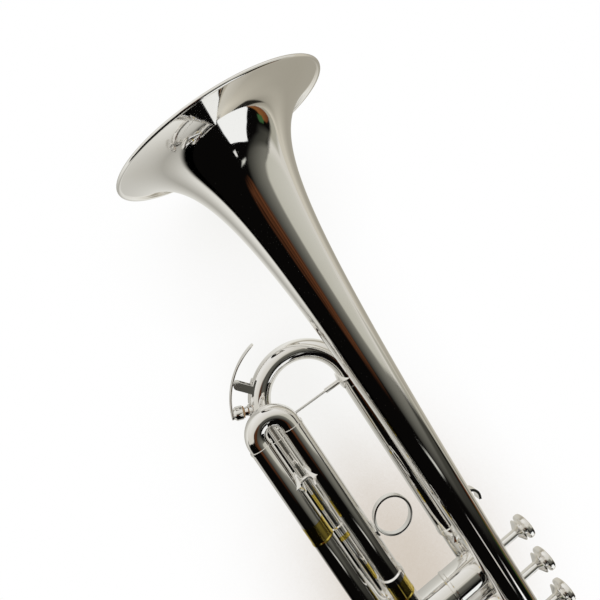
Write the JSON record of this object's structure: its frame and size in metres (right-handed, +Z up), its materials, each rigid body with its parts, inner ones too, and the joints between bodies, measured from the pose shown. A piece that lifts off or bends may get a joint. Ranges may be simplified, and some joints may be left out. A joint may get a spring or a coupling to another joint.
{
  "type": "trumpet",
  "caption": "Silver-plated valved brass instrument with flared bell, spring-returned pistons, sliding tuning bows, finger ring and water key.",
  "frame": {"origin": "centre of the mouthpiece receiver's opening, on the leadpipe's axis", "axes": "+X forward along the leadpipe towards the bell, +Y to the player's left, +Z up along the valves"},
  "size_m": [0.4842, 0.1333, 0.1743],
  "materials": {
    "silver_plate": "polished silver plate over brass",
    "bare_brass": "polished yellow brass",
    "inner_tube_brass": "drawn nickel silver, greased",
    "piston_nickel": "lapped nickel alloy",
    "spring_steel": "spring wire",
    "rim_wire": "plain brass wire",
    "pearl": "mother-of-pearl inlay",
    "cork": "pressed cork",
    "felt": "dense felt ring",
    "guide_nylon": "moulded guide"
  },
  "bodies": {
    "trumpet": {"bell": "silver_plate", "bell_rim_wire": "rim_wire", "bell_bow": "silver_plate", "bell_bow_ferrules": "silver_plate", "bell_tail": "silver_plate", "leadpipe": "silver_plate", "mouthpiece_receiver": "silver_plate", "valve_1_casing": "silver_plate", "valve_2_casing": "silver_plate", "valve_3_casing": "silver_plate", "valve_crossovers": "silver_plate", "top_caps": "silver_plate", "bottom_caps": "silver_plate", "cap_felts": "felt", "valve_guides": "guide_nylon", "tuning_lower_outer_tube": "silver_plate", "third_outer_tubes": "silver_plate", "first_outer_tubes": "silver_plate", "second_outer_tubes": "silver_plate", "slide_end_rings": "bare_brass", "front_bell_brace": "silver_plate", "rear_bell_brace": "silver_plate", "pinky_hook": "silver_plate"},
    "tuning_slide": {"tuning_bow": "silver_plate", "tuning_upper_outer_tube": "silver_plate", "tuning_lower_inner_tube": "inner_tube_brass", "tuning_lower_sleeve": "silver_plate", "tuning_slide_brace": "silver_plate", "water_key_nipple": "silver_plate", "water_key_saddle": "silver_plate", "water_key_screw": "spring_steel", "water_key_spring": "spring_steel"},
    "water_key": {"water_key_lever": "silver_plate", "water_key_cork": "cork"},
    "third_slide": {"third_bow": "silver_plate", "third_inner_tubes": "inner_tube_brass", "third_slide_sleeves": "silver_plate", "third_slide_brace": "silver_plate", "finger_ring": "silver_plate"},
    "first_slide": {"first_bow": "silver_plate", "first_inner_tubes": "inner_tube_brass", "first_slide_sleeves": "silver_plate", "thumb_saddle": "silver_plate"},
    "second_slide": {"second_bow": "silver_plate", "second_inner_tubes": "inner_tube_brass"},
    "valve_1": {"valve_1_piston": "piston_nickel", "valve_1_stem": "silver_plate", "valve_1_button": "silver_plate", "valve_1_pearl": "pearl", "valve_1_spring": "spring_steel"},
    "valve_2": {"valve_2_piston": "piston_nickel", "valve_2_stem": "silver_plate", "valve_2_button": "silver_plate", "valve_2_pearl": "pearl", "valve_2_spring": "spring_steel"},
    "valve_3": {"valve_3_piston": "piston_nickel", "valve_3_stem": "silver_plate", "valve_3_button": "silver_plate", "valve_3_pearl": "pearl", "valve_3_spring": "spring_steel"}
  },
  "joints": [
    {"name": "tuning_slide_pull", "type": "slide", "parent": "trumpet", "child": "tuning_slide", "axis": [1, 0, 0], "range_m": [0, 0.025]},
    {"name": "water_key_hinge", "type": "hinge", "parent": "tuning_slide", "child": "water_key", "pos_m": [0.36224, 0, -0.06154], "axis": [0, -1, 0], "range_deg": [0, 18], "stiffness_Nm_per_rad": 0.05, "springref_deg": -28.65},
    {"name": "third_slide_pull", "type": "slide", "parent": "trumpet", "child": "third_slide", "axis": [1, 0, 0], "range_m": [0, 0.018]},
    {"name": "first_slide_pull", "type": "slide", "parent": "trumpet", "child": "first_slide", "axis": [-1, 0, 0], "range_m": [0, 0.016]},
    {"name": "second_slide_pull", "type": "slide", "parent": "trumpet", "child": "second_slide", "axis": [0, -1, 0], "range_m": [0, 0.01]},
    {"name": "valve_1_press", "type": "slide", "parent": "trumpet", "child": "valve_1", "axis": [0, 0, -1], "range_m": [0, 0.0165], "stiffness_N_per_m": 110, "springref_m": -0.022, "deforming": ["valve_1_spring"]},
    {"name": "valve_2_press", "type": "slide", "parent": "trumpet", "child": "valve_2", "axis": [0, 0, -1], "range_m": [0, 0.0165], "stiffness_N_per_m": 110, "springref_m": -0.022, "deforming": ["valve_2_spring"]},
    {"name": "valve_3_press", "type": "slide", "parent": "trumpet", "child": "valve_3", "axis": [0, 0, -1], "range_m": [0, 0.0165], "stiffness_N_per_m": 110, "springref_m": -0.022, "deforming": ["valve_3_spring"]}
  ]
}
